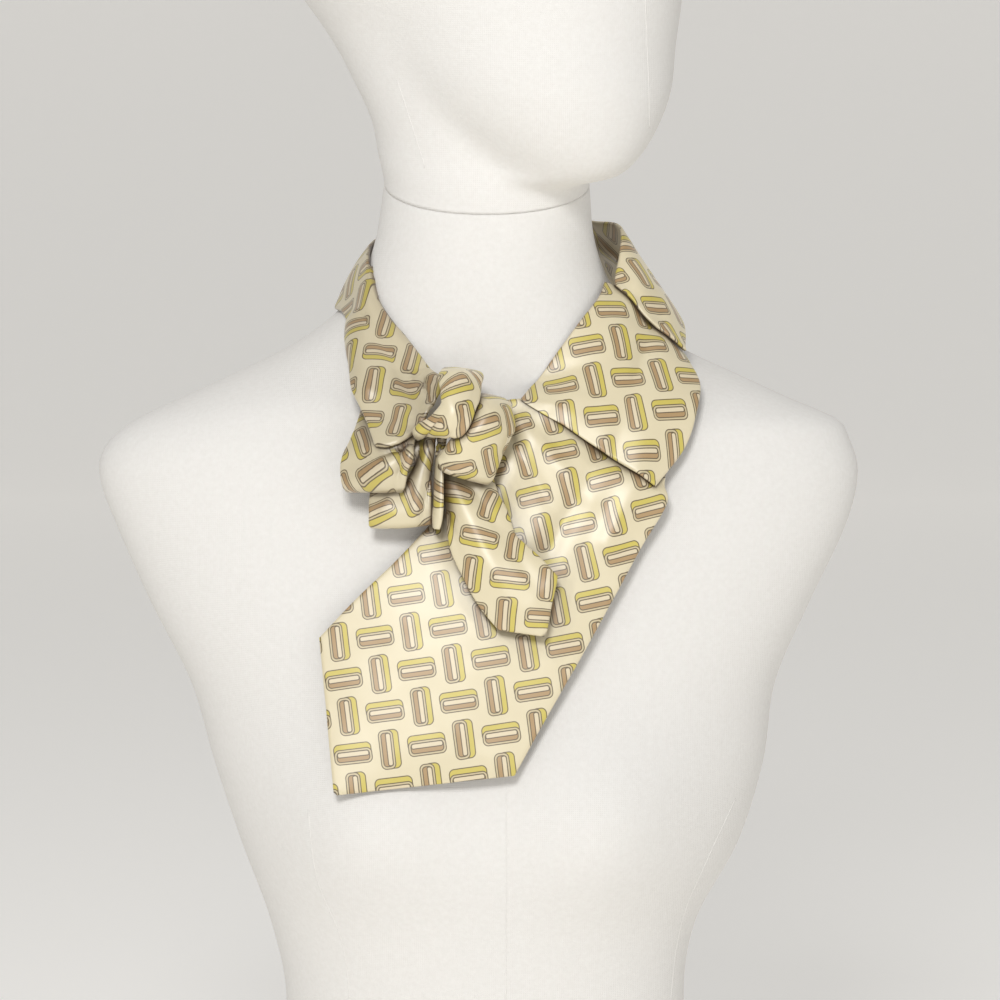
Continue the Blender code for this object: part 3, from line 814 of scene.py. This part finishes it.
def cloth_grid(rows, tip=None):
    """A fine grid over a stretch, running on to its point if it has one."""
    table = np.array(rows, dtype=float)
    width = np.linalg.norm(table[:, 6:9] - table[:, 0:3], axis=1).max()
    length = np.linalg.norm(np.diff(table[:, 3:6], axis=0), axis=1).sum()
    inside = np.array(ROLL_STEPS) * EDGE_ROLL / length
    count = max(6, round(length / CELL))
    middle = np.linspace(inside[-1], 1 - inside[-1], count)
    stations = np.concatenate((inside[:-1], middle, 1 - inside[-2::-1]))
    if tip is not None:
        stations = np.concatenate((np.linspace(0, 1 - inside[-1], count), 1 - inside[-2::-1]))
    lines, _ = sections(rows, stations)
    grid = spread(lines, edge_steps(width))
    if tip is not None:
        reach = np.linalg.norm(np.array(tip) - grid[0].mean(axis=0))
        steps = np.linspace(0.985, 0, max(6, round(reach / CELL)), endpoint=False)
        point = np.array(tip, dtype=float)
        beyond = grid[0][None] + (point - grid[0])[None] * steps[:, None, None]
        grid = np.concatenate((beyond, grid))
    return grid


def stretch(name, rows, cover, material, style="chest", folds=(), tip=None):
    grid = oriented(cloth_grid(rows, tip), style)
    grid = fold(grid, folds, normals_of(grid)) if folds else grid
    grid = crease(name, grid)
    grid = crumple(lay(grid, cover, style), 0.35, len(name))
    flat = place_print(name, grid, flatten(name, grid))
    piece = shell(name, grid, flat, material)
    cover.add(piece)
    return piece


def neck_band(cover, material):
    """One strip round the neck, cut into its three stretches."""
    grid = oriented(cloth_grid(NECK_BAND), "neck")
    grid = crease("collar_left", fold(grid, BAND_FOLDS, normals_of(grid)))
    grid = crumple(lay(grid, cover, "neck"), 0.35, 3)
    ends = [round(share * (len(grid) - 1)) for share in BAND_SHARES]
    front = grid[:ends[2] + 1]
    rear = grid[ends[2]:]
    flat_front = place_print("collar_left", front, flatten("collar_left", front))
    flat_rear = place_print("collar_right_back", rear, flatten("collar_right_back", rear))
    flats = (flat_front[:ends[1] + 1], flat_front[ends[1]:], flat_rear)
    out = normals_of(grid)
    inset = edge_distance(grid)
    pieces = []
    for name, flat, start, end, cuts in zip(BAND_NAMES, flats, ends, ends[1:], BAND_CUTS):
        rows = slice(start, end + 1)
        piece = shell(name, grid[rows], flat, material, out[rows], inset[rows], cuts)
        pieces.append(piece)
    for piece in pieces:
        cover.add(piece)
    return pieces


def ray_fan(count):
    """Directions spread evenly over a half sphere about Z, closer together near its top."""
    fan = []
    for index in range(count):
        height = sqrt(1 - (index + 0.5) / count)
        turn = index * GOLDEN_TURN
        reach = sqrt(1 - height * height)
        fan.append((reach * cos(turn), reach * sin(turn), height))
    return np.array(fan)


def paint_fold_shade(pieces, form):
    """Keeps on each cloth point how far it lies down in a fold, from 0 in the open to 1, as painted shade
    that darkens its colour.

    The stretches that the photograph shows darker all over start above 0, which paints shade over the whole
    stretch.
    """
    points, faces = [], []
    for piece in (*pieces, *form):
        start = len(points)
        points.extend(piece.matrix_world @ vertex.co for vertex in piece.data.vertices)
        faces.extend([start + corner for corner in face.vertices] for face in piece.data.polygons)
    tree = BVHTree.FromPolygons(points, faces)
    fan = ray_fan(HOLLOW_RAYS)
    for piece in pieces:
        depths = np.zeros(len(piece.data.vertices))
        for vertex in piece.data.vertices:
            out = (piece.matrix_world.to_3x3() @ vertex.normal).normalized()
            side = out.orthogonal().normalized()
            across = out.cross(side)
            start = piece.matrix_world @ vertex.co + out * HOLLOW_START
            shut = 0.0
            for x, y, z in fan:
                hit = tree.ray_cast(start, side * x + across * y + out * z, HOLLOW_REACH)
                if hit[0] is not None:
                    shut += 1 - hit[3] / HOLLOW_REACH
            depths[vertex.index] = shut / len(fan)
        layer = piece.data.attributes.new(name="painted_shade", type="FLOAT", domain="POINT")
        layer.data.foreach_set("value", depths + SHADED_ALL_OVER.get(piece.name, 0))


# Materials


class Nodes:
    """Short calls for building a material's nodes."""

    def __init__(self, name):
        self.material = bpy.data.materials.new(name)
        self.material.use_nodes = True
        self.tree = self.material.node_tree
        self.shader = self.tree.nodes["Principled BSDF"]

    def add(self, kind, **settings):
        node = self.tree.nodes.new(kind)
        for name, value in settings.items():
            setattr(node, name, value)
        return node

    def link(self, source, target):
        self.tree.links.new(source, target)

    def feed(self, socket, value):
        if isinstance(value, bpy.types.NodeSocket):
            self.link(value, socket)
        else:
            socket.default_value = value

    def math(self, operation, first, second=0.0, third=0.0):
        node = self.add("ShaderNodeMath", operation=operation)
        self.feed(node.inputs[0], first)
        self.feed(node.inputs[1], second)
        self.feed(node.inputs[2], third)
        return node.outputs[0]

    def mix(self, share, first, second):
        node = self.add("ShaderNodeMix", data_type="RGBA")
        self.feed(node.inputs[0], share)
        self.feed(node.inputs[6], first)
        self.feed(node.inputs[7], second)
        return node.outputs[2]

    def noise(self, vector, scale, detail=2.0):
        node = self.add("ShaderNodeTexNoise")
        self.feed(node.inputs["Vector"], vector)
        node.inputs["Scale"].default_value = scale
        node.inputs["Detail"].default_value = detail
        return node.outputs["Fac"]

    def bump(self, height, distance, strength=1.0):
        node = self.add("ShaderNodeBump")
        node.inputs["Distance"].default_value = distance
        node.inputs["Strength"].default_value = strength
        self.link(height, node.inputs["Height"])
        return node.outputs["Normal"]


def srgb(red, green, blue):
    """A colour given as the screen shows it, made linear."""
    def linear(value):
        share = value / 255
        return share / 12.92 if share <= 0.04045 else ((share + 0.055) / 1.055) ** 2.4
    return (linear(red), linear(green), linear(blue), 1.0)


GROUND = srgb(235, 222, 186)
YELLOW = srgb(216, 198, 84)
TAN = srgb(182, 147, 98)
SLOT = srgb(234, 218, 184)
RIM_COLOUR = srgb(214, 198, 158)
INK = srgb(88, 70, 34)
WORN = srgb(200, 182, 140)
# Painted shade: the colour that the silk darkens toward in folds and between layers
FOLD_SHADE = srgb(74, 50, 22)


def link_distance(nodes, x, y, width, length):
    """Signed distance from the outline of an upright link, negative inside."""
    radius = width / 2 * LINK_ROUND
    over_x = nodes.math("SUBTRACT", nodes.math("ABSOLUTE", x), width / 2 - radius)
    over_y = nodes.math("SUBTRACT", nodes.math("ABSOLUTE", y), length / 2 - radius)
    out_x = nodes.math("MAXIMUM", over_x, 0.0)
    out_y = nodes.math("MAXIMUM", over_y, 0.0)
    square = nodes.math("ADD", nodes.math("MULTIPLY", out_x, out_x), nodes.math("MULTIPLY", out_y, out_y))
    within = nodes.math("MINIMUM", nodes.math("MAXIMUM", over_x, over_y), 0.0)
    outside = nodes.math("SUBTRACT", nodes.math("SQRT", square), radius)
    return nodes.math("ADD", outside, within)


def inside(nodes, distance, soft=0.10):
    """1 inside an outline and 0 outside it, with a soft edge."""
    node = nodes.add("ShaderNodeMapRange", interpolation_type="SMOOTHSTEP")
    nodes.feed(node.inputs["Value"], distance)
    node.inputs["From Min"].default_value = soft
    node.inputs["From Max"].default_value = -soft
    return node.outputs["Result"]


def line(nodes, distance, width=LINE):
    """1 on an outline and 0 away from it."""
    return inside(nodes, nodes.math("SUBTRACT", nodes.math("ABSOLUTE", distance), width / 2))


def place_in_cell(nodes, along, across, shift):
    """How far a place is from the nearest link of one kind, whose links fill every second cell."""
    lane = nodes.math("FLOOR", nodes.math("ADD", nodes.math("DIVIDE", along, PITCH), 0.5))
    offset = nodes.math("ADD", lane, float(shift))
    half = nodes.math("DIVIDE", nodes.math("SUBTRACT", nodes.math("DIVIDE", across, PITCH), offset), 2.0)
    nearest = nodes.math("FLOOR", nodes.math("ADD", half, 0.5))
    cell = nodes.math("ADD", nodes.math("MULTIPLY", nearest, 2.0), offset)
    from_lane = nodes.math("SUBTRACT", along, nodes.math("MULTIPLY", lane, PITCH))
    return from_lane, nodes.math("SUBTRACT", across, nodes.math("MULTIPLY", cell, PITCH))


def print_colour(nodes, u, v):
    """The colour of the printed silk at a place on the flat cloth, in millimetres."""
    upright_x, upright_y = place_in_cell(nodes, u, v, 0)
    lying_y, lying_x = place_in_cell(nodes, v, u, 1)
    near_x = nodes.math("LESS_THAN", nodes.math("ABSOLUTE", upright_x), LINK_WIDTH)
    near_y = nodes.math("LESS_THAN", nodes.math("ABSOLUTE", upright_y), LINK_LENGTH * 0.55)
    upright = nodes.math("MULTIPLY", near_x, near_y)
    lying = nodes.math("SUBTRACT", 1.0, upright)
    minus_x = nodes.math("MULTIPLY", lying_x, -1.0)
    turned = []
    for standing, laid in ((upright_x, lying_y), (upright_y, minus_x)):
        first = nodes.math("MULTIPLY", upright, standing)
        turned.append(nodes.math("ADD", first, nodes.math("MULTIPLY", lying, laid)))
    middle_x = nodes.math("ADD", turned[0], LINK_SHIFT[0] / 2)
    middle_y = nodes.math("ADD", turned[1], LINK_SHIFT[1] / 2)
    back_x = nodes.math("SUBTRACT", middle_x, LINK_SHIFT[0])
    back_y = nodes.math("SUBTRACT", middle_y, LINK_SHIFT[1])
    back = link_distance(nodes, back_x, back_y, LINK_WIDTH, LINK_LENGTH)
    front = link_distance(nodes, middle_x, middle_y, LINK_WIDTH, LINK_LENGTH)
    inner = link_distance(nodes, middle_x, middle_y, LINK_WIDTH - 2 * RIM, LINK_LENGTH - 2 * RIM)
    slot_x = nodes.math("SUBTRACT", middle_x, SLOT_SHIFT)
    slot = link_distance(nodes, slot_x, middle_y, SLOT_WIDTH, LINK_LENGTH - 2 * RIM - SLOT_SHORTER)
    colour = nodes.mix(inside(nodes, back), GROUND, YELLOW)
    colour = nodes.mix(line(nodes, back), colour, INK)
    colour = nodes.mix(inside(nodes, front), colour, RIM_COLOUR)
    colour = nodes.mix(inside(nodes, inner), colour, TAN)
    colour = nodes.mix(inside(nodes, slot), colour, SLOT)
    for outline in (slot, inner, front):
        colour = nodes.mix(line(nodes, outline), colour, INK)
    return colour


def silk_material():
    nodes = Nodes("printed_silk")
    place = nodes.add("ShaderNodeUVMap", uv_map="cloth")
    split = nodes.add("ShaderNodeSeparateXYZ")
    nodes.link(place.outputs["UV"], split.inputs[0])
    u = nodes.math("MULTIPLY", split.outputs["X"], 1 / MM)
    v = nodes.math("MULTIPLY", split.outputs["Y"], 1 / MM)
    colour = print_colour(nodes, u, v)
    patches = nodes.noise(place.outputs["UV"], 60.0)
    colour = nodes.mix(nodes.math("MULTIPLY", patches, 0.10), colour, WORN)
    # Painted shade: the colour darkens toward FOLD_SHADE as a point lies deeper in a fold, and all over on
    # three stretches
    painted_shade = nodes.add("ShaderNodeAttribute", attribute_type="GEOMETRY", attribute_name="painted_shade")
    depth = nodes.math("MULTIPLY", painted_shade.outputs["Fac"], HOLLOW_TIMES)
    colour = nodes.mix(nodes.math("MINIMUM", depth, HOLLOW_MOST), colour, FOLD_SHADE)
    nodes.link(colour, nodes.shader.inputs["Base Color"])
    twill = nodes.add("ShaderNodeTexWave", wave_type="BANDS", bands_direction="DIAGONAL")
    twill.inputs["Scale"].default_value = 900.0
    twill.inputs["Distortion"].default_value = 0.6
    nodes.link(place.outputs["UV"], twill.inputs["Vector"])
    nodes.link(nodes.bump(twill.outputs["Fac"], 0.00004, 0.35), nodes.shader.inputs["Normal"])
    nodes.shader.inputs["Roughness"].default_value = 0.42
    nodes.shader.inputs["Specular IOR Level"].default_value = 1.0
    nodes.shader.inputs["Coat Weight"].default_value = 0.5
    nodes.shader.inputs["Coat Roughness"].default_value = 0.4
    nodes.shader.inputs["Sheen Weight"].default_value = 0.15
    nodes.shader.inputs["Sheen Roughness"].default_value = 0.4
    return nodes.material


def linen_material():
    nodes = Nodes("form_linen")
    place = nodes.add("ShaderNodeTexCoord").outputs["Object"]
    threads = []
    for direction in ("X", "Z"):
        wave = nodes.add("ShaderNodeTexWave", wave_type="BANDS", bands_direction=direction)
        wave.inputs["Scale"].default_value = 330.0
        wave.inputs["Distortion"].default_value = 1.6
        wave.inputs["Detail"].default_value = 2.0
        nodes.link(place, wave.inputs["Vector"])
        threads.append(wave.outputs["Fac"])
    weave = nodes.math("MULTIPLY", threads[0], threads[1])
    slubs = nodes.noise(place, 420.0, 3.0)
    height = nodes.math("ADD", weave, nodes.math("MULTIPLY", slubs, 0.8))
    colour = nodes.mix(slubs, srgb(237, 234, 229), srgb(247, 245, 241))
    nodes.link(colour, nodes.shader.inputs["Base Color"])
    nodes.link(nodes.bump(height, 0.00015, 0.5), nodes.shader.inputs["Normal"])
    nodes.shader.inputs["Roughness"].default_value = 0.95
    nodes.shader.inputs["Specular IOR Level"].default_value = 0.2
    return nodes.material


# Stage


def stage_material():
    nodes = Nodes("pale_backdrop")
    nodes.shader.inputs["Base Color"].default_value = srgb(240, 238, 234)
    nodes.shader.inputs["Roughness"].default_value = 0.9
    nodes.shader.inputs["Emission Color"].default_value = srgb(240, 238, 234)
    nodes.shader.inputs["Emission Strength"].default_value = 0.27
    return nodes.material


def build_stage():
    """A pale floor that curves up into a wall behind the form."""
    depth, rise, bend, half = 7000.0, 6000.0, 1500.0, 9000.0
    profile = [(-depth, 0.0)]
    for step in range(25):
        angle = pi / 2 * step / 24
        profile.append((depth - bend + bend * sin(angle), bend - bend * cos(angle)))
    profile.append((depth, rise))
    points = [(side * half, y, z) for y, z in profile for side in (-1, 1)]
    faces = [(2 * i, 2 * i + 1, 2 * i + 3, 2 * i + 2) for i in range(len(profile) - 1)]
    backdrop = add_mesh("backdrop", points, faces, body=None)
    backdrop.data.materials.append(stage_material())


def add_light(name, place, size, power, colour=(1, 1, 1)):
    data = bpy.data.lights.new(name, "AREA")
    data.size = size
    data.energy = power
    data.color = colour
    light = bpy.data.objects.new(name, data)
    bpy.context.scene.collection.objects.link(light)
    light.location = place
    way = Vector((0, 0, 0.40)) - Vector(place)
    light.rotation_euler = way.to_track_quat("-Z", "Y").to_euler()


def build_lights():
    add_light("key", (-0.3, -2.2, 1.6), 0.6, 29)
    add_light("fill", (1.8, -1.6, 0.5), 1.8, 4)
    add_light("top", (0.0, 0.3, 2.4), 1.6, 5)
    world = bpy.data.worlds.new("studio")
    world.use_nodes = True
    world.node_tree.nodes["Background"].inputs[0].default_value = (1, 1, 1, 1)
    world.node_tree.nodes["Background"].inputs[1].default_value = 0.35
    bpy.context.scene.world = world
    bpy.context.scene.view_settings.view_transform = "Standard"


def build_camera():
    data = bpy.data.cameras.new("camera")
    data.sensor_width = SENSOR
    data.lens = SENSOR * VIEW_DISTANCE / VIEW_WIDTH
    camera = bpy.data.objects.new("camera", data)
    bpy.context.scene.collection.objects.link(camera)
    way = Vector((0, -cos(VIEW_ELEVATION), sin(VIEW_ELEVATION)))
    camera.location = Vector(VIEW_TARGET) + way * VIEW_DISTANCE
    camera.rotation_euler = (-way).to_track_quat("-Z", "Y").to_euler()
    bpy.context.scene.camera = camera


def main():
    build_camera()
    build_stage()
    build_lights()
    linen = linen_material()
    silk = silk_material()
    cover = Cover()
    form = (build_torso(linen), build_head(linen))
    build_seams(form, linen)
    for piece in form:
        cover.add(piece)
    cloth = [
        stretch("blade", BLADE, cover, silk, "chest", BLADE_FOLDS, BLADE_POINT),
        stretch("collar_right_front", RIGHT_FRONT, cover, silk, "chest", RIGHT_FOLDS),
        stretch("lower_loop", LOWER_LOOP, cover, silk),
        stretch("left_loop", LEFT_LOOP, cover, silk),
        *neck_band(cover, silk),
        stretch("tail", TAIL, cover, silk, "chest", (), TAIL_POINT),
        stretch("knot_fold", KNOT_FOLD, cover, silk),
        stretch("knot_wrap", KNOT_WRAP, cover, silk),
        stretch("knot_tab", KNOT_TAB, cover, silk),
    ]
    paint_fold_shade(cloth, form)


main()
